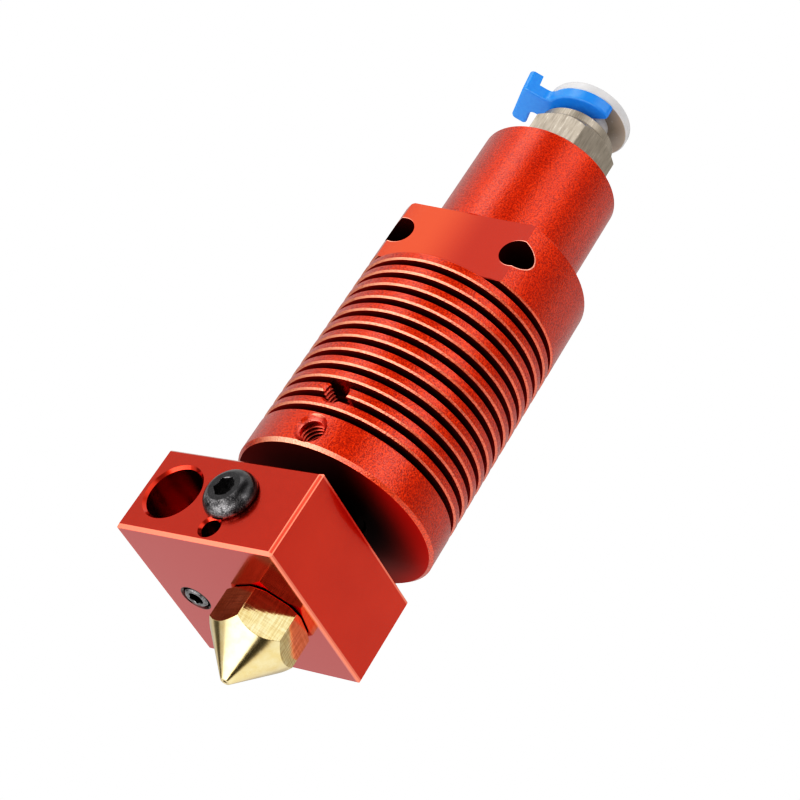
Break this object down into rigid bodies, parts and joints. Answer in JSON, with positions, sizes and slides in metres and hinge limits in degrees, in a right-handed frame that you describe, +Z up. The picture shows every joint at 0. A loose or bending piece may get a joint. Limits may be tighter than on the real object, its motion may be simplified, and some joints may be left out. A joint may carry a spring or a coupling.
{
  "type": "hotend assembly",
  "caption": "Filament printer hotend: finned heatsink with a carriage flat, heater block with cartridge bore, hexagonal nozzle, and a push-fit tube coupler with release collet and clip.",
  "frame": {"origin": "centre of the two carriage holes, on the flat of the heatsink's flange that seats on the carriage", "axes": "+Z runs up the filament path from nozzle to coupler, -Y points out of the carriage flat, and +X is to the right seen from the flat's side"},
  "size_m": [0.0266, 0.0235, 0.0798],
  "materials": {
    "anodised_red": "bead-blasted, red anodised",
    "anodised_red_satin": "milled, red anodised",
    "stainless": "turned",
    "black_oxide": "black oxide",
    "nozzle_brass": "turned, bright",
    "nickel_plate": "nickel plated",
    "seal_rubber": "smooth",
    "natural_nylon": "moulded",
    "spring_steel": "stamped",
    "retainer_brass": "turned",
    "collet_white": "moulded, slightly translucent",
    "clip_blue": "moulded"
  },
  "bodies": {
    "sink": {"heatsink": "anodised_red", "heatbreak_lock_screws": "black_oxide", "coupler_body": "nickel_plate", "coupler_seal_ring": "seal_rubber", "coupler_backup_ring": "natural_nylon", "coupler_grip_ring": "spring_steel", "coupler_retainer": "retainer_brass"},
    "hot_block": {"heatbreak": "stainless", "heater_block": "anodised_red_satin", "nozzle": "nozzle_brass", "thermistor_screw": "black_oxide", "cartridge_set_screw": "black_oxide"},
    "collet": {"release_collet": "collet_white"},
    "clip": {"collet_clip": "clip_blue"}
  },
  "joints": [
    {"name": "collet_press", "type": "slide", "parent": "sink", "child": "collet", "axis": [0, 0, -1], "range_m": [0, 0.0009], "stiffness_N_per_m": 400},
    {"name": "clip_pull", "type": "slide", "parent": "collet", "child": "clip", "axis": [-0.866, -0.5, 0], "range_m": [0, 0.012]},
    {"name": "hot_block_turn", "type": "hinge", "parent": "sink", "child": "hot_block", "pos_m": [0, 0.0081, -0.0304], "axis": [0, 0, 1], "continuous": true}
  ]
}
